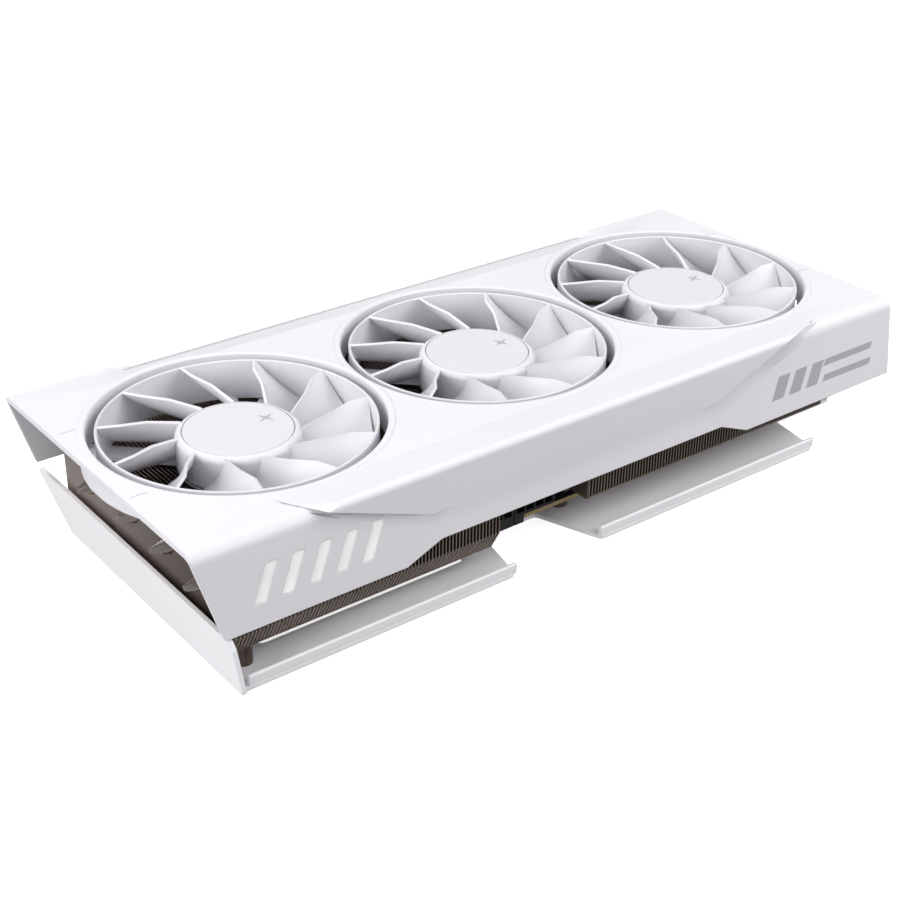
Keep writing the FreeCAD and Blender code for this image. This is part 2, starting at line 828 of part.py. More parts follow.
MEMORY_SPOTS = [(13, y) for y in (-25, -8.5, 8.5, 25)] + [(x, y) for x in (42, 62) for y in (-36, 36)]


def blocks(spots, half_x, half_y, z):
    """Identical blocks, one at each spot."""
    solids = [box((x - half_x, x + half_x), (y - half_y, y + half_y), z) for x, y in spots]
    return group(*solids)


keep(blocks(MEMORY_SPOTS, 6.0, 7.0, ("board_top", "board_top + 1.2")), "memory_chips")
keep(blocks(MEMORY_SPOTS, 5.5, 6.5, ("board_top + 1.2", 8.8)), "thermal_pads")

CHOKE_SPOTS = [(-14, y) for y in (-24, -12, 0, 12, 24, 36)] + [(120, y) for y in (-30, -18, -6)]
STAGE_SPOTS = [(x + 9, y) for x, y in CHOKE_SPOTS]
CAPACITOR_SPOTS = [(x - 9.5, y + 1) for x, y in CHOKE_SPOTS]
keep(blocks(CHOKE_SPOTS, 4.5, 4.5, ("board_top", "board_top + 4.5")), "inductors")
keep(blocks(STAGE_SPOTS, 2.5, 3.0, ("board_top", "board_top + 0.9")), "power_stages")
capacitors = [rod(3.0, x, y, ("board_top", "board_top + 6.5")) for x, y in CAPACITOR_SPOTS]
keep(group(*capacitors), "capacitors")

SOCKET_STARTS = (-36.6, -18.4)
SOCKET_WIDTH = 17.8
SOCKET_DEPTH = 9.6
SOCKET_HEIGHT = 10.4
SOCKET_MOUTH = dim("board_near") - 0.2
SOCKET_FOOT = dim("board_top")
NOTCH_HEAD = -14.0
NOTCH_NEAR = -41.0
PIN_PITCH = 4.2
ROW_PITCH = 4.5

contact_tail = "contact_head - contact_span"
key_start, key_end = "contact_head - 13.5", "contact_head - 11.6"
board_outline = [
    ("board_tail", NOTCH_NEAR),
    (NOTCH_HEAD, NOTCH_NEAR),
    (NOTCH_HEAD, "board_near"),
    ("board_head", "board_near"),
    ("board_head", "board_far"),
    ("contact_head", "board_far"),
    ("contact_head", "contact_edge"),
    (key_end, "contact_edge"),
    (key_end, "board_far"),
    (key_start, "board_far"),
    (key_start, "contact_edge"),
    (contact_tail, "contact_edge"),
    (contact_tail, "board_far"),
    ("board_tail", "board_far"),
]
board_holes = [(x, y, 1.6) for x, y in PLATE_SCREWS + STANDOFFS]
keep(plate(board_outline, ("board_foot", "board_top"), holes=board_holes), "circuit_board")


def make_contacts():
    """Thin plated pads on both faces of the board's edge, one per millimetre, clear of the key slot."""
    pads = []
    head, span = dim("contact_head"), dim("contact_span")
    for index in range(int(span) - 1):
        x = head - 1.2 - index
        if 10.6 < head - x < 14.4:
            continue
        for level in (dim("board_top"), dim("board_foot") - 0.05):
            pads.append(Part.makeBox(0.7, 5.6, 0.05, Vector(x - 0.35, dim("contact_edge") - 6.2, level)))
    return Part.makeCompound(pads)


keep(freeform(make_contacts()), "edge_contacts")

def pin_cells(start):
    """Centres of one socket's eight cells, in two rows of four."""
    return [
        (start + 2.65 + column * PIN_PITCH, SOCKET_FOOT + 2.95 + row * ROW_PITCH)
        for column in range(4)
        for row in range(2)
    ]


def make_power_sockets():
    """Two eight-way sockets that open towards the side of the card, with a skirt in the board's notch."""
    sockets = []
    for start in SOCKET_STARTS:
        corner = Vector(start, SOCKET_MOUTH, SOCKET_FOOT)
        block = Part.makeBox(SOCKET_WIDTH, SOCKET_DEPTH, SOCKET_HEIGHT, corner)
        skirt_width = min(SOCKET_WIDTH, NOTCH_HEAD - 0.2 - start)
        skirt_depth = NOTCH_NEAR - 0.2 - SOCKET_MOUTH
        skirt = Part.makeBox(skirt_width, skirt_depth, 3.0, corner - Vector(0, 0, 3.0))
        block = block.fuse(skirt)
        cells = []
        for x, z in pin_cells(start):
            cells.append(Part.makeBox(3.5, 9.0, 3.7, Vector(x - 1.75, SOCKET_MOUTH - 1, z - 1.85)))
        sockets.append(block.cut(cells))
    return Part.makeCompound(sockets)


def make_power_pins():
    pins = []
    for start in SOCKET_STARTS:
        for x, z in pin_cells(start):
            pins.append(Part.makeCylinder(0.55, 6, Vector(x, SOCKET_MOUTH + 1.5, z), Vector(0, 1, 0)))
    return Part.makeCompound(pins)


keep(freeform(make_power_sockets()), "power_sockets")
keep(freeform(make_power_pins()), "power_pins")

# display sockets: centre across the card, half width, height
DISPLAY_SOCKETS = ((-26.0, 8.1, 5.2), (-3.0, 8.1, 5.2), (20.0, 8.1, 5.2), (43.0, 7.5, 5.6))
shells, tongues = [], []
for centre, half, height in DISPLAY_SOCKETS:
    outer = box(
        ("board_head - 16", "bracket_face - bracket_sheet - 0.2"),
        (centre - half, centre + half),
        ("board_top", f"board_top + {height}"),
    )
    inner = box(
        ("board_head - 14", "bracket_face"),
        (centre - half + 0.5, centre + half - 0.5),
        ("board_top + 0.5", f"board_top + {height - 0.5}"),
    )
    shells.append(cut(outer, inner))
    tongues.append(
        box(
            ("board_head - 14", "bracket_face - 2.5"),
            (centre - half + 2, centre + half - 2),
            (f"board_top + {height / 2 - 0.5}", f"board_top + {height / 2 + 0.5}"),
        )
    )
keep(group(*shells), "display_socket_shells")
keep(group(*tongues), "display_socket_tongues")

# ------------------------------------------------------------------------------------------------
# Retention plate, standoffs and screws
# ------------------------------------------------------------------------------------------------

retention_outline = square("processor_spot", 34, 34)
keep(
    plate(
        retention_outline,
        (3.6, 4.6),
        windows=[square("processor_spot", 16, 16)],
        holes=[(x, y, 1.5) for x, y in PLATE_SCREWS],
    ),
    "retention_plate",
)
keep(screws(PLATE_SCREWS, 2.6, 1.25, (2.4, 3.6), (3.6, 10.6)), "retention_screws")
standoffs = [tube(3.5, 1.3, x, y, ("sheet", "board_foot")) for x, y in STANDOFFS]
keep(group(*standoffs), "board_standoffs")
posts = [tube(2.8, 1.3, x, y, ("sheet", "tail_fin_foot")) for x, y in TAIL_POSTS]
keep(group(*posts), "tail_posts")
keep(screws(STANDOFFS + TAIL_POSTS, 2.6, 1.25, (0, 1.1), (1.1, 4.8)), "backplate_screws")

# ------------------------------------------------------------------------------------------------
# Backplate: one bent sheet with two side lips and an upturned tail panel
# ------------------------------------------------------------------------------------------------

backplate_outline = [
    ("sheet_tail", "near_side"),
    (-34.5, "near_side"),
    (-29, -40),
    (-5, -40),
    (3.5, "near_side"),
    (109.5, "near_side"),
    (113.5, "board_near"),
    ("sheet_head", "board_near"),
    ("sheet_head", 56),
    (-50, 56),
    (-62, 47),
    ("sheet_tail", 47),
]
flow_window = rectangle((-122.5, -42.5), (-48.8, 40))
sheet_body = plate(
    backplate_outline,
    (0, "sheet"),
    windows=[flow_window],
    holes=[(x, y, 2.7) for x, y in STANDOFFS + TAIL_POSTS],
)
tail_lip = box((-135.4, -35.5), ("near_side", "near_side + sheet"), (0, "lip_top"))
head_lip = box((4.5, 109.5), ("near_side", "near_side + sheet"), (0, "lip_top"))


def make_tail_panel():
    """The upturned end: a leaning sheet whose far end is cut on a slant."""
    foot, top = dim("sheet_tail"), dim("tail_panel_top")
    lean, thickness = 2.1, dim("sheet")
    side = [
        Vector(foot, -70, 0),
        Vector(foot + thickness, -70, 0),
        Vector(foot + thickness - lean, -70, top),
        Vector(foot - lean, -70, top),
    ]
    front = [
        Vector(foot - 5, -66, 0),
        Vector(foot - 5, 46, 0),
        Vector(foot - 5, 63.6, top - 2),
        Vector(foot - 5, 62.6, top),
        Vector(foot - 5, -63, top),
        Vector(foot - 5, -64.5, top - 3),
    ]
    return extruded(side, Vector(0, 140, 0)).common(extruded(front, Vector(10, 0, 0)))


keep(fuse(sheet_body, tail_lip, head_lip, freeform(make_tail_panel())), "backplate")

# ------------------------------------------------------------------------------------------------
# Input/output bracket
# ------------------------------------------------------------------------------------------------

VENT_COUNT = 11
VENT_START = -34.0
VENT_PITCH = 8.4
VENT_WIDTH = 5.6
FOOT_SPOTS = (-38.5, 57.0)

blade_x = ("bracket_face - bracket_sheet", "bracket_face")
bracket_top = "bracket_foot + bracket_width"
tongue_centres = ("bracket_foot + 9.2", "bracket_foot + 9.2 + slot_pitch")
bracket_pieces = [
    box(blade_x, ("tab_level", "bracket_far"), ("bracket_foot", bracket_top)),
    box(
        ("bracket_face - bracket_sheet", "bracket_face + tab_length"),
        ("tab_level", "tab_level + bracket_sheet"),
        ("bracket_foot", bracket_top),
    ),
]
for centre in tongue_centres:
    tongue_y = ("bracket_far - 1", "tongue_tip")
    bracket_pieces.append(box(blade_x, tongue_y, (f"{centre} - 5.1", f"{centre} + 5.1")))
through_sheet = ("bracket_face - 2", "bracket_face + 1")
bracket_cuts = []
for centre in tongue_centres:
    hole_x = "bracket_face + tab_length - 5.2"
    bracket_cuts.append(rod("tab_hole", hole_x, ("tab_level - 1", "tab_level + 2"), centre, "y"))
for centre, half, height in DISPLAY_SOCKETS:
    opening_y = (centre - half + 0.3, centre + half - 0.3)
    opening_z = ("board_top + 0.3", f"board_top + {height - 0.3}")
    bracket_cuts.append(box(through_sheet, opening_y, opening_z))
for index in range(VENT_COUNT):
    start = VENT_START + index * VENT_PITCH
    bracket_cuts.append(box(through_sheet, (start, start + VENT_WIDTH), (18, 36)))
for y in FOOT_SPOTS:
    bracket_cuts.append(rod(1.6, through_sheet, y, "foot_screw_level", "x"))
keep(cut(fuse(*bracket_pieces), *bracket_cuts), "io_bracket")

clamps = [
    cut(
        box(("board_head - 9", "bracket_face - bracket_sheet"), (y - 3.5, y + 3.5), ("board_top", 15.5)),
        box(("board_head - 10", "board_head"), (y - 4, y + 4), ("board_top + 1.2", 16)),
        rod(1.25, ("board_head - 1", "bracket_face"), y, "foot_screw_level", "x"),
    )
    for y in FOOT_SPOTS
]
keep(group(*clamps), "bracket_feet")
bracket_screws = [
    fuse(
        rod(2.3, ("bracket_face", "bracket_face + 1.3"), y, "foot_screw_level", "x"),
        rod(1.2, ("board_head + 0.2", "bracket_face"), y, "foot_screw_level", "x"),
    )
    for y in FOOT_SPOTS
]
keep(group(*bracket_screws), "bracket_screws")

# ------------------------------------------------------------------------------------------------
# Check and export
# ------------------------------------------------------------------------------------------------

doc.recompute()
for item in doc.Objects:
    if "Invalid" in item.State or "Error" in item.State:
        raise SystemExit(f"{item.Name} ({item.Label}) did not compute: {item.State}")

os.makedirs("parts", exist_ok=True)
for part in sub_parts:
    if part.Shape.isNull() or not part.Shape.isValid() or part.Shape.Volume <= 0:
        raise SystemExit(f"{part.Label} is not a valid shape")
    part.Shape.exportStep(f"parts/{part.Label}.step")
print(len(sub_parts), "sub-parts written")
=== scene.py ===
import json
import math

import bmesh
import bpy
from mathutils import Matrix, Vector


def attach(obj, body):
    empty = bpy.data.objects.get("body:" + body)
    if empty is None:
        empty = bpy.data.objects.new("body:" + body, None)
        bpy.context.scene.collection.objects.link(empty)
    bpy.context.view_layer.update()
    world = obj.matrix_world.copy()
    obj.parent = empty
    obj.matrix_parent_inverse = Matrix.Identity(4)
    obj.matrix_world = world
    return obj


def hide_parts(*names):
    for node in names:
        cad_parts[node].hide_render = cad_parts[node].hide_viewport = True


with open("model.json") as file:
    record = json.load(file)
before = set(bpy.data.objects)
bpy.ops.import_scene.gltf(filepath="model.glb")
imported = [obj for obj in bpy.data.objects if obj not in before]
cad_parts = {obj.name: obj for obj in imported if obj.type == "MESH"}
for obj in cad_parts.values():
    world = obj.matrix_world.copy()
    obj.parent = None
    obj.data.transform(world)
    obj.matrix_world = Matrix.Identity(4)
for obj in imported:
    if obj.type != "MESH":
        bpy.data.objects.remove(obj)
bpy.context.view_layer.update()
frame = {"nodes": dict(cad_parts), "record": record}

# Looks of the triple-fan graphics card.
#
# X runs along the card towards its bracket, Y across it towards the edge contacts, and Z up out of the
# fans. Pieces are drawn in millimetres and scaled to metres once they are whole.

MM = 0.001

# ------------------------------------------------------------------------------------------------
# Driving dimensions, in millimetres
# ------------------------------------------------------------------------------------------------

DECK = 50.6
SKIN = 2.0
TAIL_END = -150.5
HEAD_END = 149.0
NEAR_CROWN = -62.5
NEAR_FOOT_LINE = -64.5
FAR_SIDE = 59.3
COVER_FOOT = 20.4
FAR_FOOT = 23.8
ARCH_TOP = 25.6
CROWN_ROUND = 4.0
FAR_ROUND = 2.0
TAIL_LEAN, HEAD_LEAN = 8.6, 2.2
ARCH_FEET = (-78.2, 71.4)
ARCH_SHOULDERS = (-64.5, 58.4)
GROOVE_Y, GROOVE_WIDTH = 24.0, 0.36

FAN_PITCH = 97.7
FANS = {"fan_tail": -FAN_PITCH, "fan_middle": 0.0, "fan_head": FAN_PITCH}
OPENING = 48.0
MOUTH = 0.75
LIP = DECK + 0.25
DUCT = 50.3
DUCT_FOOT = 39.6
RING = 45.2
RING_WALL = 0.9
RING_TOP = 50.0
RING_FOOT = 35.4
HUB = 20.4
HUB_TOP = 47.0
BADGE = 18.0
BADGE_TOP = 47.2
BLADES = 11
BLADE_THICKNESS, BLADE_CAMBER = 1.0, 1.2
BLADE_TURN = {"fan_tail": 4.3, "fan_middle": 0.0, "fan_head": 4.2}  # degrees each fan stands at, at rest

FIN_START, FIN_END = -136.6, -38.0
FIN_PITCH = 1.35
FIN_NEAR = -60.0
FIN_FOOT = 8.5

SHEET = 1.5
SHEET_TAIL = -138.6
SHEET_HEAD = 146.0
LIP_TOP = 4.9
PANEL_TOP = 18.6

# ------------------------------------------------------------------------------------------------
# Solids
# ------------------------------------------------------------------------------------------------


def solid(bm, name="solid"):
    """A scene object from a closed mesh."""
    bmesh.ops.recalc_face_normals(bm, faces=bm.faces)
    mesh = bpy.data.meshes.new(name)
    bm.to_mesh(mesh)
    bm.free()
    obj = bpy.data.objects.new(name, mesh)
    bpy.context.scene.collection.objects.link(obj)
    return obj


def add_prism(bm, outline, run):
    """Sweeps a flat polygon along a vector."""
    run = Vector(run)
    start = [bm.verts.new(point) for point in outline]
    end = [bm.verts.new(Vector(point) + run) for point in outline]
    bm.faces.new(start)
    bm.faces.new(end[::-1])
    for index in range(len(outline)):
        after = (index + 1) % len(outline)
        bm.faces.new((start[index], start[after], end[after], end[index]))


def prism(outline, run):
    bm = bmesh.new()
    add_prism(bm, outline, run)
    return solid(bm)


def add_block(bm, low, high):
    """A box between two corners."""
    x, y, z = low
    outline = [(x, y, z), (high[0], y, z), (high[0], high[1], z), (x, high[1], z)]
    add_prism(bm, outline, (0, 0, high[2] - z))


def block(low, high):
    bm = bmesh.new()
    add_block(bm, low, high)
    return solid(bm)


def add_turned(bm, profile, steps, axis_x=0.0):
    """Turns a closed profile of (radius, level) about an upright axis."""
    rings = []
    for radius, level in profile:
        ring = []
        for step in range(steps if radius > 0 else 1):
            angle = 2 * math.pi * step / steps
            spot = (axis_x + radius * math.cos(angle), radius * math.sin(angle), level)
            ring.append(bm.verts.new(spot))
        rings.append(ring)
    for lower, upper in zip(rings, rings[1:] + rings[:1]):
        for step in range(steps):
            after = step + 1
            corners = [lower[step % len(lower)], lower[after % len(lower)]]
            corners += [upper[after % len(upper)], upper[step % len(upper)]]
            corners = list(dict.fromkeys(corners))
            if len(corners) > 2:
                bm.faces.new(corners)


def turned(profile, steps=180, axis_x=0.0):
    bm = bmesh.new()
    add_turned(bm, profile, steps, axis_x)
    return solid(bm)


def combine(base, operation, *tools):
    """Joins the tools to the base, or takes them away from it."""
    for tool in tools:
        modifier = base.modifiers.new("combine", "BOOLEAN")
        modifier.operation = operation
        modifier.solver = "EXACT"
        modifier.object = tool
    bpy.context.view_layer.update()
    shown = base.evaluated_get(bpy.context.evaluated_depsgraph_get())
    mesh = bpy.data.meshes.new_from_object(shown)
    base.modifiers.clear()
    base.data = mesh
    for tool in tools:
        bpy.data.objects.remove(tool)
    return base


def weld(obj, reach=0.01):
    """Closes the hairline cracks and drops the slivers that joining solids leaves."""
    bm = bmesh.new()
    bm.from_mesh(obj.data)
    bmesh.ops.remove_doubles(bm, verts=bm.verts, dist=reach)
    bmesh.ops.dissolve_degenerate(bm, edges=bm.edges, dist=reach)
    bm.to_mesh(obj.data)
    bm.free()


def arc(centre, radius, start, end, steps=8):
    """Points of a flat arc between two angles in degrees."""
    points = []
    for step in range(steps + 1):
        angle = math.radians(start + (end - start) * step / steps)
        points.append((centre[0] + radius * math.cos(angle), centre[1] + radius * math.sin(angle)))
    return points


def rounded(corners, steps=4):
    """A flat outline from (x, y, radius) corners, each rounded by its own radius."""
    outline = []
    for index, (x, y, radius) in enumerate(corners):
        here = Vector((x, y))
        if radius <= 0:
            outline.append((x, y))
            continue
        before = Vector(corners[index - 1][:2]) - here
        after = Vector(corners[(index + 1) % len(corners)][:2]) - here
        reach = radius / math.tan(before.angle(after) / 2)
        start = here + before.normalized() * reach
        end = here + after.normalized() * reach
        for step in range(steps + 1):
            share = step / steps
            spot = start.lerp(here, share).lerp(here.lerp(end, share), share)
            outline.append((spot.x, spot.y))
    return outline


def at_level(outline, level):
    return [(x, y, level) for x, y in outline]


def finish_piece(obj, name, material, body="card", sharp=28.0):
    """Scales a whole piece to metres, shades it smooth between its edges, and fixes it to a body."""
    obj.name = name
    obj.data.name = name
    obj.data.transform(Matrix.Scale(MM, 4))
    obj.data.materials.clear()
    obj.data.materials.append(material)
    obj.data.shade_smooth()
    obj.data.set_sharp_from_angle(angle=math.radians(sharp))
    even = obj.modifiers.new("even_normals", "WEIGHTED_NORMAL")
    even.keep_sharp = True
    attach(obj, body)
    return obj


# ------------------------------------------------------------------------------------------------
# Materials
# ------------------------------------------------------------------------------------------------


class Surface:
    """Builds one procedural material, node by node."""

    def __init__(self, name):
        self.material = bpy.data.materials.new(name)
        self.material.use_nodes = True
        self.tree = self.material.node_tree
        self.shader = self.tree.nodes["Principled BSDF"]
        self.place = self.node("ShaderNodeTexCoord").outputs["Object"]

    def node(self, kind, **settings):
        made = self.tree.nodes.new(kind)
        for key, value in settings.items():
            setattr(made, key, value)
        return made

    def feed(self, source, target):
        self.tree.links.new(source, target)

    def noise(self, scale, detail=3.0, stretch=(1, 1, 1)):
        mapping = self.node("ShaderNodeMapping")
        mapping.inputs["Scale"].default_value = stretch
        self.feed(self.place, mapping.inputs["Vector"])
        noise = self.node("ShaderNodeTexNoise")
        noise.inputs["Scale"].default_value = scale
        noise.inputs["Detail"].default_value = detail
        self.feed(mapping.outputs["Vector"], noise.inputs["Vector"])
        return noise.outputs["Fac"]

    def spread(self, value, low, high, source_low=0.3, source_high=0.7):
        """Maps a noise value onto a range."""
        ramp = self.node("ShaderNodeMapRange")
        ramp.inputs["From Min"].default_value = source_low
        ramp.inputs["From Max"].default_value = source_high
        ramp.inputs["To Min"].default_value = low
        ramp.inputs["To Max"].default_value = high
        self.feed(value, ramp.inputs["Value"])
        return ramp.outputs["Result"]

    def mix(self, share, first, second):
        """Blends two colours, each an output or a triple."""
        blend = self.node("ShaderNodeMix", data_type="RGBA")
        colours = [socket for socket in blend.inputs if socket.type == "RGBA"]
        for socket, colour in zip(colours, (first, second)):
            if isinstance(colour, tuple):
                socket.default_value = (*colour, 1.0)
            else:
                self.feed(colour, socket)
        self.feed(share, blend.inputs[0])
        return blend.outputs[2]

    def edges(self, radius):
        """The rounded normal near edges, and how far it is turned from the flat one."""
        bevel = self.node("ShaderNodeBevel", samples=4)
        bevel.inputs["Radius"].default_value = radius * MM
        flat = self.node("ShaderNodeNewGeometry")
        alike = self.node("ShaderNodeVectorMath", operation="DOT_PRODUCT")
        self.feed(bevel.outputs["Normal"], alike.inputs[0])
        self.feed(flat.outputs["Normal"], alike.inputs[1])
        worn = self.spread(alike.outputs["Value"], 1.0, 0.0, 0.75, 0.99)
        return bevel.outputs["Normal"], worn

    def bump(self, height, strength, distance, normal=None):
        bump = self.node("ShaderNodeBump")
        bump.inputs["Strength"].default_value = strength
        bump.inputs["Distance"].default_value = distance * MM
        self.feed(height, bump.inputs["Height"])
        if normal is not None:
            self.feed(normal, bump.inputs["Normal"])
        self.feed(bump.outputs["Normal"], self.shader.inputs["Normal"])


def satin(name, colour, roughness, grain=900.0, edge=0.35, drift=0.02, specular=0.4, bump=0.06):
    """Moulded plastic or powder coat: fine grain, slight drift in tone, brighter rounded edges."""
    surface = Surface(name)
    fine = surface.noise(grain, 2.0)
    broad = surface.noise(14.0, 3.0)
    deep = tuple(channel * (1 - drift) for channel in colour)
    tone = surface.mix(surface.spread(broad, 0, 1), deep, colour)
    lighter = tuple(min(1.0, channel * 1.05 + 0.01) for channel in colour)
    if edge:
        normal, worn = surface.edges(edge)
        tone = surface.mix(surface.spread(worn, 0, 0.6, 0, 1), tone, lighter)
    else:
        normal = None
    surface.feed(tone, surface.shader.inputs["Base Color"])
    rough = surface.spread(broad, roughness - 0.04, roughness + 0.05)
    surface.feed(rough, surface.shader.inputs["Roughness"])
    surface.shader.inputs["Specular IOR Level"].default_value = specular
    surface.bump(fine, bump, 0.05, normal)
    return surface.material


def metal(name, colour, roughness, stretch=(1, 1, 1), grain=400.0, drift=0.12, metallic=1.0):
    """Bare or plated metal with drawn streaks, patchy roughness and a slow drift in tone."""
    surface = Surface(name)
    streaks = surface.noise(grain, 3.0, stretch)
    broad = surface.noise(60.0, 3.0)
    dark = tuple(channel * (1 - drift) for channel in colour)
    light = tuple(min(1.0, channel * (1 + drift)) for channel in colour)
    tone = surface.mix(surface.spread(broad, 0, 1), dark, light)
    surface.feed(tone, surface.shader.inputs["Base Color"])
    surface.feed(
        surface.spread(streaks, roughness - 0.08, roughness + 0.08),
        surface.shader.inputs["Roughness"],
    )
    surface.shader.inputs["Metallic"].default_value = metallic
    surface.bump(streaks, 0.12, 0.03)
    return surface.material


def glowing(name):
    """Frosted light guide, lit from behind a little unevenly."""
    surface = Surface(name)
    cloud = surface.noise(120.0, 2.0)
    tone = surface.mix(surface.spread(cloud, 0, 1), (0.88, 0.90, 0.88), (0.95, 0.95, 0.93))
    surface.feed(tone, surface.shader.inputs["Base Color"])
    surface.feed(tone, surface.shader.inputs["Emission Color"])
    surface.feed(surface.spread(cloud, 0.03, 0.09), surface.shader.inputs["Emission Strength"])
    surface.shader.inputs["Roughness"].default_value = 0.35
    surface.bump(surface.noise(700.0), 0.05, 0.03)
    return surface.material


SHELL = satin("white_shell", (0.72, 0.713, 0.745), 0.42)
FAN = satin("white_fan", (0.70, 0.695, 0.73), 0.40, edge=0.25)
BADGE_WHITE = satin("badge_white", (0.66, 0.655, 0.69), 0.34, edge=0.2)
COAT = satin("white_sheet", (0.82, 0.813, 0.84), 0.46, grain=1400.0, edge=0.3, bump=0.10)
GREY_PRINT = satin("grey_print", (0.40, 0.40, 0.42), 0.5, edge=0)


def board():
    """Black solder mask on both faces, bare tan laminate along the cut edges."""
    surface = Surface("black_board")
    weave = surface.noise(1800.0, 2.0)
    facing = surface.node("ShaderNodeSeparateXYZ")
    surface.feed(surface.node("ShaderNodeNewGeometry").outputs["Normal"], facing.inputs[0])
    level = surface.node("ShaderNodeMath", operation="ABSOLUTE")
    surface.feed(facing.outputs["Z"], level.inputs[0])
    mask = surface.mix(surface.spread(weave, 0, 1), (0.028, 0.028, 0.032), (0.045, 0.045, 0.05))
    laminate = surface.mix(surface.spread(weave, 0, 1), (0.30, 0.22, 0.11), (0.44, 0.33, 0.17))
    flat = surface.spread(level.outputs["Value"], 0, 1, 0.4, 0.6)
    surface.feed(surface.mix(flat, laminate, mask), surface.shader.inputs["Base Color"])
    surface.feed(surface.spread(weave, 0.34, 0.5), surface.shader.inputs["Roughness"])
    surface.bump(weave, 0.08, 0.03)
    return surface.material


def end_plate_with_painted_shade():
    """Nickel-plated steel with painted shade: dark brown on the contacts' side, where the cover shades
    it, and paler towards the far one.
    """
    surface = Surface("plate_nickel")
    streaks = surface.noise(400.0, 3.0, (1, 8, 1))
    place = surface.node("ShaderNodeSeparateXYZ")
    surface.feed(surface.place, place.inputs[0])
    # Painted shade: the colour runs from dark brown at one side of the plate, standing in for the
    # cover's shadow, to pale at the other.
    far = surface.spread(place.outputs["Y"], 0, 1, -45 * MM, 45 * MM)
    tone = surface.mix(far, (0.17, 0.135, 0.115), (0.52, 0.45, 0.42))
    surface.feed(tone, surface.shader.inputs["Base Color"])
    surface.feed(surface.spread(streaks, 0.36, 0.50), surface.shader.inputs["Roughness"])
    surface.shader.inputs["Metallic"].default_value = 1.0
    surface.bump(streaks, 0.12, 0.03)
    return surface.material


MATERIALS = {
    "white_shell": SHELL,
    "white_fan": FAN,
    "badge_white": BADGE_WHITE,
    "white_sheet": COAT,
    "light_guide": glowing("light_guide"),
    "fin_nickel": metal("fin_nickel", (0.36, 0.30, 0.26), 0.38, (1, 1, 12)),
    "plate_nickel": end_plate_with_painted_shade(),
    "pipe_nickel": metal("pipe_nickel", (0.44, 0.39, 0.36), 0.24, (12, 1, 1)),
    "dark_metal": metal("dark_metal", (0.15, 0.12, 0.105), 0.45),
    "screw_steel": metal("screw_steel", (0.52, 0.52, 0.54), 0.32),
    "motor_steel": metal("motor_steel", (0.35, 0.35, 0.37), 0.4, (1, 1, 10)),
    "winding_copper": metal("winding_copper", (0.62, 0.30, 0.14), 0.35, (1, 1, 20)),
    "sleeve_brass": metal("sleeve_brass", (0.72, 0.55, 0.28), 0.45),
    "black_board": board(),
    "gold_plate": metal("gold_plate", (0.83, 0.62, 0.25), 0.25),
    "socket_black": satin("socket_black", (0.02, 0.02, 0.022), 0.45, edge=0.15, drift=0.3),
    "chip_black": satin("chip_black", (0.03, 0.03, 0.032), 0.5, edge=0, drift=0.3),
    "die_grey": satin("die_grey", (0.30, 0.32, 0.35), 0.12, edge=0, drift=0.2),
    "pad_grey": satin("pad_grey", (0.42, 0.44, 0.47), 0.8, edge=0, drift=0.1),
    "can_silver": metal("can_silver", (0.72, 0.72, 0.74), 0.3),
    "bracket_steel": metal("bracket_steel", (0.62, 0.62, 0.64), 0.3, (1, 14, 1)),
}

for part in frame["record"]["subparts"]:
    node = frame["nodes"][part["node"]]
    node.data.materials.clear()
    node.data.materials.append(MATERIALS[part["material_slot"]])

# ------------------------------------------------------------------------------------------------
# Cover
# ------------------------------------------------------------------------------------------------


def near_line(level):
    """Outer face of the leaning near wall at one level."""
    crown = DECK - CROWN_ROUND
    return NEAR_CROWN + (NEAR_FOOT_LINE - NEAR_CROWN) * (crown - level) / (crown - COVER_FOOT)


def cover_section(inset, floor):
    """Cross-section of the cover at the tail end."""
    crown = DECK - CROWN_ROUND
    near = (NEAR_CROWN + CROWN_ROUND, crown)
    far = (FAR_SIDE - FAR_ROUND, DECK - FAR_ROUND)
    points = [(near_line(floor) + inset, floor)]
    points += arc(near, CROWN_ROUND - inset, 180, 90, 10)
    points += arc(far, FAR_ROUND - inset, 90, 0, 5) if inset < FAR_ROUND else [far]
    points.append((FAR_SIDE - inset, floor))
    return [(TAIL_END, y, z) for y, z in points]


def trim(bm, a, b, c, kept):
    """Cuts a closed solid along the plane through three points and keeps the side of a fourth."""
    a, b, c, kept = (Vector(point) for point in (a, b, c, kept))
    away = (b - a).cross(c - a).normalized()
    if away.dot(kept - a) > 0:
        away.negate()
    everything = bm.verts[:] + bm.edges[:] + bm.faces[:]
    bmesh.ops.bisect_plane(bm, geom=everything, plane_co=a, plane_no=away, clear_outer=True)
    bmesh.ops.edgeloop_fill(bm, edges=[edge for edge in bm.edges if edge.is_boundary])


def below_deck(x, y, drop):
    return (x, y, DECK + drop)


BESIDE = -75.0  # a level across the card that is clear of its near side
BULGE_WALL, BULGE_TUCK = -65.7, -65.0
BULGE_CREASE = -14.3
BULGE_ROUND = 2.5

# stations along the ribbon under the bulge: its upper edge and its lower one
RIBBON = (
    ((-109.6, -61.0, -1.0), (-110.6, -60.6, -0.8)),
    ((-98.3, -61.9, -4.7), (-100.4, -62.6, -5.6)),
    ((-85.4, -63.6, -8.8), (-85.8, -63.1, -13.6)),
    ((-70.6, -65.0, -13.8), (-67.5, -63.6, -19.6)),
    ((-60.0, -65.0, BULGE_CREASE), (-60.0, -63.7, -20.3)),
    ((45.0, -65.0, BULGE_CREASE), (45.0, -63.7, -20.3)),
    ((54.5, -65.0, -13.6), (58.7, -63.7, -20.3)),
    ((74.0, -65.2, -5.1), (85.4, -62.9, -8.9)),
    ((88.5, -64.9, 0.2), (99.2, -62.5, -4.0)),
    ((97.3, -62.3, 1.48), (107.8, -59.9, 0.0)),
)


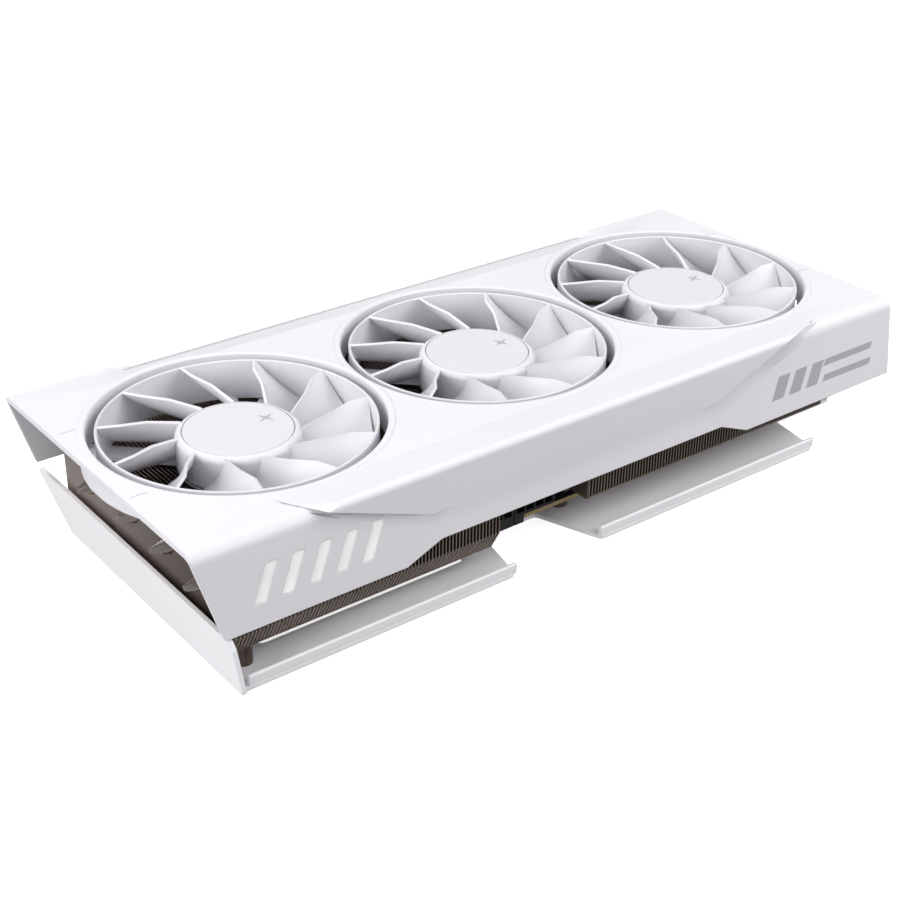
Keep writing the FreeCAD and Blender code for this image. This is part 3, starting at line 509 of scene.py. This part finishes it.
def near_bulge():
    """The raised band along the near side, with a tucked-in wall and slanted ends."""
    inside = (0, -60, DECK - 5)
    bm = bmesh.new()
    add_block(bm, (-140, BESIDE, DECK - 30), (130, -44, DECK + 6))
    trim(bm, below_deck(0, -50, 0), below_deck(9, -50, 0), below_deck(0, -65, 1.8), inside)
    top, crease = below_deck(0, BULGE_WALL, 1.9), below_deck(0, BULGE_TUCK, BULGE_CREASE)
    trim(bm, top, below_deck(9, BULGE_WALL, 1.9), crease, inside)
    ridge = [
        edge
        for edge in bm.edges
        if all(v.co.y < BULGE_WALL + 0.1 and v.co.z > DECK + 1 for v in edge.verts)
    ]
    bmesh.ops.bevel(bm, geom=ridge, offset=BULGE_ROUND, segments=8, profile=0.5, affect="EDGES")
    planes = [
        (crease, below_deck(9, BULGE_TUCK, BULGE_CREASE), below_deck(0, -60, BULGE_CREASE)),
        (below_deck(-70.6, -65, -13.8), below_deck(-101.5, -65.3, -1.9), below_deck(-81.9, -60, -10.6)),
        (below_deck(-117.8, -51.3, 0), below_deck(-111.4, -60.2, 0), below_deck(-109.0, -56.3, 1.0)),
        (below_deck(54.5, -65, -13.6), below_deck(82.6, -65.4, -1.7), below_deck(69.8, -60, -13.1)),
        (below_deck(117, -46, 0), below_deck(107.8, -59.9, 0), below_deck(97.3, -62.3, 1.48)),
    ]
    for plane in planes:
        trim(bm, *plane, inside)
    return solid(bm)


def ribbon(stations, away):
    """A strip that follows the ribbon's face and runs away from it to one side of the wall."""
    bm = bmesh.new()
    rings = []
    for upper, lower in stations:
        corners = [upper, lower]
        corners += [(x, y + away, z) for x, y, z in (lower, upper)]
        rings.append([bm.verts.new(below_deck(*corner)) for corner in corners])
    for before, after in zip(rings, rings[1:]):
        for index in range(4):
            after_index = (index + 1) % 4
            quad = (before[index], before[after_index], after[after_index], after[index])
            bm.faces.new(quad)
    bm.faces.new(rings[0])
    bm.faces.new(rings[-1][::-1])
    bmesh.ops.triangulate(bm, faces=bm.faces)
    return solid(bm)


def far_hollow():
    """The wedge that is missing from the deck along the far side, between two slanted facets."""
    above = (0, 55, DECK + 3)
    drop = -2.5
    bm = bmesh.new()
    add_block(bm, (-140, 40, DECK - 6), (130, 66, DECK + 5))
    trim(bm, below_deck(0, 47, 0), below_deck(9, 47, 0), below_deck(0, FAR_SIDE, drop), above)
    trim(bm, below_deck(-126, 44.6, 0), below_deck(-114, 61.7, 0), below_deck(-104.6, 59.2, drop), above)
    trim(bm, below_deck(117, 46.2, 0), below_deck(107.5, 60, 0), below_deck(93.9, 59.1, drop), above)
    return solid(bm)


OPENING_STEPS = 240


def duct(x):
    """The wall round one fan, with a lip that stands a little proud of the deck."""
    profile = [
        (OPENING - 1, DUCT_FOOT),
        (DUCT, DUCT_FOOT),
        (DUCT, LIP - 0.2),
        (DUCT - 0.2, LIP),
        (OPENING - 1, LIP),
    ]
    return turned(profile, OPENING_STEPS - 1, x)


def opening(x):
    """What is taken away for one fan: a straight bore with a rounded mouth."""
    profile = [(0, DUCT_FOOT - 1), (OPENING, DUCT_FOOT - 1), (OPENING, LIP - MOUTH)]
    profile += [(OPENING + MOUTH - y, z) for y, z in arc((0.0, LIP - MOUTH), MOUTH, 0, 90, 5)][1:]
    profile += [(OPENING + MOUTH, LIP + 1), (0, LIP + 1)]
    return turned(profile, OPENING_STEPS, x)


MARK_START, MARK_PITCH, MARK_BARS = -132.0, 9.4, 5
MARK_LOW, MARK_HIGH = 28.0, 40.0
MARK_WIDTH, MARK_SLANT, MARK_ROUND = 3.9, 5.0, 0.4


def mark_bar(index, play=0.3):
    """The opening for one slanted bar of the lit mark, with a little play round the bar."""
    x = MARK_START + index * MARK_PITCH - play / 2
    width = MARK_WIDTH + play
    low, high = MARK_LOW - play / 2, MARK_HIGH + play / 2
    outline = rounded(
        [
            (x, low, MARK_ROUND),
            (x + width, low, MARK_ROUND),
            (x + width + MARK_SLANT, high, MARK_ROUND),
            (x + MARK_SLANT, high, MARK_ROUND),
        ]
    )
    return prism([(across, BESIDE + 5, up) for across, up in outline], (0, 10, 0))


def groove(x, y, length):
    """A fine line in the deck, running in from an end."""
    half = GROOVE_WIDTH / 2
    return block((x, y - half, DECK - 0.35), (x + length, y + half, DECK + 1))


def make_cover():
    """Skin, raised band, ducts and openings in one closed solid."""
    length = (HEAD_END - TAIL_END, 0, 0)
    cover = prism(cover_section(0, COVER_FOOT), length)
    combine(cover, "DIFFERENCE", ribbon(RIBBON[:3], -3.0))
    combine(cover, "UNION", ribbon(RIBBON[2:], 1.2))
    combine(cover, "UNION", near_bulge())
    cavity = prism(cover_section(SKIN, COVER_FOOT - 1), (length[0] + 2, 0, 0))
    cavity.location.x = -1
    combine(cover, "DIFFERENCE", cavity, far_hollow())
    combine(cover, "UNION", *[duct(x) for x in FANS.values()])
    tail_lean = [
        (TAIL_END - 1, BESIDE, COVER_FOOT - 1),
        (TAIL_END + TAIL_LEAN, BESIDE, COVER_FOOT - 1),
        (TAIL_END, BESIDE, DECK - SKIN),
        (TAIL_END - 1, BESIDE, DECK - SKIN),
    ]
    head_lean = [
        (HEAD_END + 1, BESIDE, COVER_FOOT),
        (HEAD_END, BESIDE, COVER_FOOT),
        (HEAD_END - HEAD_LEAN, BESIDE, DECK + 1),
        (HEAD_END + 1, BESIDE, DECK + 1),
    ]
    arch = [
        (ARCH_FEET[0], COVER_FOOT - 1, 0),
        (ARCH_FEET[0], COVER_FOOT, 1.5),
        (ARCH_SHOULDERS[0], ARCH_TOP, 2.5),
        (ARCH_SHOULDERS[1], ARCH_TOP, 2.5),
        (ARCH_FEET[1], COVER_FOOT, 1.5),
        (ARCH_FEET[1], COVER_FOOT - 1, 0),
    ]
    arch = [(x, BESIDE, z) for x, z in rounded(arch)]
    cuts = [opening(x) for x in FANS.values()]
    cuts.append(prism(tail_lean, (0, 150, 0)))
    cuts.append(prism(head_lean, (0, 150, 0)))
    cuts.append(prism(arch, (0, 20, 0)))
    cuts.append(block((TAIL_END - 1, FAR_SIDE - 10, COVER_FOOT - 2), (HEAD_END + 1, 70, FAR_FOOT)))
    for y in (-GROOVE_Y, GROOVE_Y):
        cuts.append(groove(TAIL_END + 2.2, y, 5.6))
        cuts.append(groove(HEAD_END - 10.0, y, 5.6))
    for index in range(MARK_BARS):
        cuts.append(mark_bar(index))
    combine(cover, "DIFFERENCE", *cuts)
    weld(cover)
    finish_piece(cover, "cover", SHELL)
    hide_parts("shroud")


make_cover()


def make_print():
    """A plain grey ornament printed on the head wing: two rules and three slanted dashes."""
    bm = bmesh.new()
    lean = 0.35
    low, high = 27.6, 36.4
    rule = 2.6
    shapes = [(start, 6.0, low, high) for start in (84.0, 93.0, 102.0)]
    shapes += [(111.0, 26.0, low, low + rule), (111.0, 26.0, high - rule, high)]
    for start, width, bottom, top in shapes:
        shift = (top - bottom) * lean
        outline = []
        for across, up in (
            (start, bottom),
            (start + width, bottom),
            (start + width + shift, top),
            (start + shift, top),
        ):
            outline.append((across, near_line(up) - 0.04, up))
        add_prism(bm, outline, (0, 0.3, 0))
    finish_piece(solid(bm), "wing_print", GREY_PRINT)


make_print()

# ------------------------------------------------------------------------------------------------
# Fans
# ------------------------------------------------------------------------------------------------


def polar(radius, degrees, drop):
    angle = math.radians(degrees)
    return Vector((radius * math.cos(angle), radius * math.sin(angle), DECK + drop))


def add_blade(bm, top_edge, foot_edge, thickness, camber, rows=12):
    """A thin curved blade between a bent top edge and a straight foot."""
    across = foot_edge[0] - top_edge[0]
    middle = (top_edge[-1] - top_edge[0]).cross(across).normalized()
    grid = []
    for row in range(rows + 1):
        down = row / rows
        line = []
        for index, top in enumerate(top_edge):
            foot = foot_edge[0].lerp(foot_edge[1], index / (len(top_edge) - 1))
            line.append(top.lerp(foot, down) + middle * camber * 4 * down * (1 - down))
        grid.append(line)
    layers = []
    for offset in (-thickness / 2, thickness / 2):
        layers.append([[bm.verts.new(spot + middle * offset) for spot in line] for line in grid])
    back, front = layers
    columns = len(top_edge) - 1
    for row in range(rows):
        for column in range(columns):
            square = ((row, column), (row, column + 1), (row + 1, column + 1), (row + 1, column))
            bm.faces.new([front[r][c] for r, c in square])
            bm.faces.new([back[r][c] for r, c in reversed(square)])
    rim = [(0, column) for column in range(columns)]
    rim += [(row, columns) for row in range(rows)]
    rim += [(rows, column) for column in range(columns, 0, -1)]
    rim += [(row, 0) for row in range(rows, 0, -1)]
    for (r, c), (next_r, next_c) in zip(rim, rim[1:] + rim[:1]):
        bm.faces.new((front[r][c], back[r][c], back[next_r][next_c], front[next_r][next_c]))


def blade_edges(turn):
    """Top edge of a blade from the hub over its kink to the ring, and its foot below."""
    root = polar(HUB - 0.8, turn - 5.9, -4.0)
    kink = polar(37.5, turn + 13.5, -0.85)
    tip = polar(RING - 0.5, turn + 14.8, -0.75)
    heel = polar(HUB - 0.8, turn - 27.4, RING_FOOT - DECK + 0.2)
    foot = polar(RING - 0.5, turn - 8.6, RING_FOOT - DECK + 0.2)
    swell = polar(29.5, turn + 6.3, -1.9)
    top_edge = [root.lerp(swell, step / 4) for step in range(4)]
    top_edge += [swell.lerp(kink, step / 4) for step in range(4)]
    top_edge += [kink.lerp(tip, step / 3) for step in range(4)]
    return top_edge, (heel, foot)


def shared_mesh(bm, name, sharp, *materials):
    """A mesh in metres that all three fans share."""
    bmesh.ops.recalc_face_normals(bm, faces=bm.faces)
    bmesh.ops.scale(bm, vec=(MM, MM, MM), verts=bm.verts)
    mesh = bpy.data.meshes.new(name)
    bm.to_mesh(mesh)
    bm.free()
    for material in materials:
        mesh.materials.append(material)
    mesh.shade_smooth()
    mesh.set_sharp_from_angle(angle=math.radians(sharp))
    return mesh


def make_rotor():
    """Ring, hub and blades of one fan about the middle of the frame."""
    bm = bmesh.new()
    inner = RING - RING_WALL
    ring = [(inner, RING_FOOT), (RING, RING_FOOT), (RING, RING_TOP - 0.35)]
    ring += [(RING - 0.35, RING_TOP), (inner + 0.35, RING_TOP), (inner, RING_TOP - 0.35)]
    add_turned(bm, ring, 200)
    shoulder = 2.2
    hub = [(1.0, HUB_TOP - 2.4), (HUB - 2, HUB_TOP - 2.4), (HUB - 2, RING_FOOT), (HUB, RING_FOOT)]
    hub += arc((HUB - shoulder, HUB_TOP - shoulder), shoulder, 0, 90, 8)
    hub += [(BADGE + 0.22, HUB_TOP), (BADGE + 0.22, HUB_TOP - 1.2), (1.0, HUB_TOP - 1.2)]
    add_turned(bm, hub, 144)
    for index in range(BLADES):
        top_edge, foot_edge = blade_edges(index * 360 / BLADES)
        add_blade(bm, top_edge, foot_edge, BLADE_THICKNESS, BLADE_CAMBER)
    return shared_mesh(bm, "rotor", 32, FAN)


def make_badge():
    """The hub's disc, with a small four-pointed star."""
    bm = bmesh.new()
    top = BADGE_TOP
    disc = [(0, top - 1.4), (BADGE, top - 1.4), (BADGE, top - 0.3), (BADGE - 0.3, top), (0, top)]
    add_turned(bm, disc, 120)
    star = []
    for index in range(8):
        radius = 3.6 if index % 2 == 0 else 0.9
        angle = math.radians(index * 45 + 20)
        star.append((10.8 + radius * math.cos(angle), radius * math.sin(angle), top - 0.5))
    add_prism(bm, star, (0, 0, 0.55))
    mesh = shared_mesh(bm, "badge", 30, BADGE_WHITE, GREY_PRINT)
    for face in mesh.polygons:
        if face.center.z > (top + 0.02) * MM:
            face.material_index = 1
    return mesh


def make_fans():
    rotor_mesh = make_rotor()
    badge_mesh = make_badge()
    for body, station in FANS.items():
        place = body.removeprefix("fan_")
        for kind, mesh, slot in (
            ("fan_rotor", rotor_mesh, "white_fan"),
            ("hub_badge", badge_mesh, "badge_white"),
        ):
            piece = bpy.data.objects.new(f"{kind}_{place}_look", mesh)
            bpy.context.scene.collection.objects.link(piece)
            piece.location.x = station * MM
            piece.rotation_euler.z = math.radians(BLADE_TURN[body])
            even = piece.modifiers.new("even_normals", "WEIGHTED_NORMAL")
            even.keep_sharp = True
            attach(piece, body)
            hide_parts(f"{kind}_{place}")


make_fans()

# ------------------------------------------------------------------------------------------------
# Backplate
# ------------------------------------------------------------------------------------------------

NEAR_EDGE, HEAD_STEP = -64.5, -42.0
NOTCH = -40.0
FAR_EDGE, TAIL_FAR_EDGE = 56.0, 47.0
LIP_RUNS = ((-135.4, -33.9), (3.2, 109.8))
HOLE_RADIUS = 2.7
HOLES = (
    (-31, 50),
    (60, 52),
    (140, 50),
    (140, -38),
    (95, -39),
    (6, -39),
    (-130.5, -53.1),
    (-130.5, 40),
)


def make_backplate():
    """The bent sheet: its flat with notch, window and holes, two near lips and the tail panel."""
    outline = rounded(
        [
            (SHEET_TAIL, NEAR_EDGE, 0.5),
            (-34.5, NEAR_EDGE, 2.0),
            (-29, NOTCH, 2.0),
            (-5, NOTCH, 2.0),
            (3.5, NEAR_EDGE, 2.0),
            (109.5, NEAR_EDGE, 2.0),
            (114.0, HEAD_STEP, 2.0),
            (SHEET_HEAD, HEAD_STEP, 2.0),
            (SHEET_HEAD, FAR_EDGE, 2.0),
            (-50, FAR_EDGE, 3.0),
            (-62, TAIL_FAR_EDGE, 3.0),
            (SHEET_TAIL, TAIL_FAR_EDGE, 0.5),
        ]
    )
    window = rounded([(-122.5, -48.8, 3.0), (-42.5, -48.8, 3.0), (-42.5, 40, 3.0), (-122.5, 40, 3.0)])
    plate = prism(at_level(outline, 0), (0, 0, SHEET))
    combine(plate, "DIFFERENCE", prism(at_level(window, -1), (0, 0, 4)))
    holes = []
    for x, y in HOLES:
        hole = turned([(0, -1), (HOLE_RADIUS, -1), (HOLE_RADIUS, 3), (0, 3)], 40, x)
        hole.location.y = y
        holes.append(hole)
    combine(plate, "DIFFERENCE", *holes)
    for start, end in LIP_RUNS:
        combine(plate, "UNION", make_lip(start, end))
    combine(plate, "UNION", make_tail_panel())
    finish_piece(plate, "backplate_look", COAT)
    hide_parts("backplate")


def make_lip(start, end):
    """An upturned side edge with a bend round its foot."""
    bend = 2.4
    section = arc((NEAR_EDGE + bend, bend), bend, 270, 180, 6)
    section += [(NEAR_EDGE, LIP_TOP - 0.4), (NEAR_EDGE + 0.4, LIP_TOP)]
    section += [(NEAR_EDGE + SHEET - 0.4, LIP_TOP), (NEAR_EDGE + SHEET, LIP_TOP - 0.4)]
    section += arc((NEAR_EDGE + bend, bend), bend - SHEET, 180, 270, 6)
    section += [(NEAR_EDGE + bend + 1, SHEET), (NEAR_EDGE + bend + 1, 0)]
    return prism([(start, y, z) for y, z in section], (end - start, 0, 0))


def make_tail_panel():
    """The upturned end: a leaning sheet whose far end is cut on a slant."""
    lean = 2.1
    front = rounded(
        [
            (-66, 0, 1.0),
            (46, 0, 2.0),
            (63.6, PANEL_TOP - 2, 1.0),
            (62.6, PANEL_TOP, 0.6),
            (-63, PANEL_TOP, 1.2),
            (-64.5, PANEL_TOP - 3, 1.2),
        ]
    )
    outer = []
    for y, z in front:
        outer.append((SHEET_TAIL - lean * z / PANEL_TOP, y, z))
    return prism(outer, (SHEET, 0, 0))


make_backplate()

# ------------------------------------------------------------------------------------------------
# Heatsink detail
# ------------------------------------------------------------------------------------------------


def make_fin_tabs():
    """Folded tabs along the bevelled near foot of the tail fins, one to each gap."""
    bm = bmesh.new()
    thickness, gap = 0.25, 0.62
    top, foot = (FIN_NEAR + 0.05, FIN_FOOT + 7.6), (FIN_NEAR + 4.1, FIN_FOOT + 0.1)
    count = round((FIN_END - FIN_START) / FIN_PITCH)
    pitch = (FIN_END - FIN_START - 0.4) / count
    for index in range(count):
        start = FIN_START + 0.45 + index * pitch
        outline = [
            (start, top[0], top[1]),
            (start, top[0] + thickness, top[1]),
            (start, foot[0] + thickness, foot[1]),
            (start, foot[0], foot[1]),
        ]
        add_prism(bm, outline, (pitch - gap, 0, 0))
    finish_piece(solid(bm), "fin_tabs", MATERIALS["fin_nickel"])


make_fin_tabs()

# ------------------------------------------------------------------------------------------------
# Floor, light and camera
# ------------------------------------------------------------------------------------------------

FLOOR_REACH, FLOOR_LEVEL = 4.0, -0.0004
FLOOR_TINT = (0.08, 0.08, 0.08)
FLOOR_GLOW, FLOOR_GLOW_SEEN = 0.27, 0.72
SKY_HORIZON, SKY_ZENITH = 0.22, 0.84

# name: place, aim, size and power
LAMPS = {
    "near_key": ((0.62, -0.62, 0.55), (0.08, 0, 0.03), 0.9, 6.7),
    "tail_key": ((-1.15, -0.15, 0.48), (-0.1, 0, 0.03), 0.8, 11.0),
    "overhead": ((0.0, 0.70, 1.10), (0, 0, 0.03), 1.3, 5.0),
}

CAMERA_PLACE = (-317.253, -386.436, 283.09)
CAMERA_AZIMUTH, CAMERA_ELEVATION = -36.406, 28.733
CAMERA_LENS, CAMERA_SHIFT = 62.71, (0.0521, -0.0061)


def make_floor():
    """A white light table: it glows evenly from above, and is seen through from below."""
    bm = bmesh.new()
    for x, y in ((-1, -1), (1, -1), (1, 1), (-1, 1)):
        bm.verts.new((x * FLOOR_REACH, y * FLOOR_REACH, FLOOR_LEVEL))
    bm.faces.new(bm.verts)
    floor = solid(bm, "floor")
    surface = Surface("floor_paper")
    cloud = surface.noise(3.0)
    seen = surface.mix(surface.spread(cloud, 0, 1), (0.95, 0.95, 0.95), (0.97, 0.97, 0.97))
    eye = surface.node("ShaderNodeLightPath").outputs["Is Camera Ray"]
    surface.feed(surface.mix(eye, FLOOR_TINT, seen), surface.shader.inputs["Base Color"])
    glow = surface.spread(eye, FLOOR_GLOW, FLOOR_GLOW_SEEN, 0, 1)
    surface.feed(glow, surface.shader.inputs["Emission Strength"])
    surface.shader.inputs["Emission Color"].default_value = (1.0, 1.0, 1.0, 1.0)
    surface.shader.inputs["Roughness"].default_value = 0.9
    surface.shader.inputs["Specular IOR Level"].default_value = 0.0
    below = surface.node("ShaderNodeNewGeometry").outputs["Backfacing"]
    surface.feed(surface.spread(below, 1.0, 0.0, 0, 1), surface.shader.inputs["Alpha"])
    floor.data.materials.append(surface.material)


def add_lamp(name, place, target, size, power):
    lamp = bpy.data.lights.new(name, "AREA")
    lamp.shape = "DISK"
    lamp.size = size
    lamp.energy = power
    obj = bpy.data.objects.new(name, lamp)
    obj.location = place
    obj.rotation_euler = (Vector(target) - Vector(place)).to_track_quat("-Z", "Y").to_euler()
    bpy.context.scene.collection.objects.link(obj)


def make_world():
    """A soft surround that grows brighter towards the zenith, and is plain white to the camera."""
    world = bpy.data.worlds.new("studio")
    world.use_nodes = True
    tree = world.node_tree
    background = tree.nodes["Background"]
    background.inputs["Color"].default_value = (1.0, 1.0, 1.0, 1.0)
    upward = tree.nodes.new("ShaderNodeSeparateXYZ")
    tree.links.new(tree.nodes.new("ShaderNodeTexCoord").outputs["Generated"], upward.inputs[0])
    level = tree.nodes.new("ShaderNodeMapRange")
    level.inputs["To Min"].default_value = SKY_HORIZON
    level.inputs["To Max"].default_value = SKY_ZENITH
    tree.links.new(upward.outputs["Z"], level.inputs["Value"])
    eye = tree.nodes.new("ShaderNodeLightPath").outputs["Is Camera Ray"]
    seen = tree.nodes.new("ShaderNodeMix")
    seen.inputs["B"].default_value = 1.0
    tree.links.new(eye, seen.inputs["Factor"])
    tree.links.new(level.outputs["Result"], seen.inputs["A"])
    tree.links.new(seen.outputs["Result"], background.inputs["Strength"])
    bpy.context.scene.world = world
    bpy.context.scene.view_settings.view_transform = "Standard"


def make_camera():
    azimuth, elevation = math.radians(CAMERA_AZIMUTH), math.radians(CAMERA_ELEVATION)
    back = Vector(
        (
            math.sin(azimuth) * math.cos(elevation),
            -math.cos(azimuth) * math.cos(elevation),
            math.sin(elevation),
        )
    )
    data = bpy.data.cameras.new("camera")
    data.sensor_width = 36.0
    data.lens = CAMERA_LENS
    data.shift_x, data.shift_y = CAMERA_SHIFT
    data.clip_start = 0.01
    camera = bpy.data.objects.new("camera", data)
    camera.location = Vector(CAMERA_PLACE) * MM
    camera.rotation_mode = "QUATERNION"
    camera.rotation_quaternion = (-back).to_track_quat("-Z", "Y")
    bpy.context.scene.collection.objects.link(camera)
    bpy.context.scene.camera = camera


make_floor()
make_world()
for name, (place, target, size, power) in LAMPS.items():
    add_lamp(name, place, target, size, power)
make_camera()
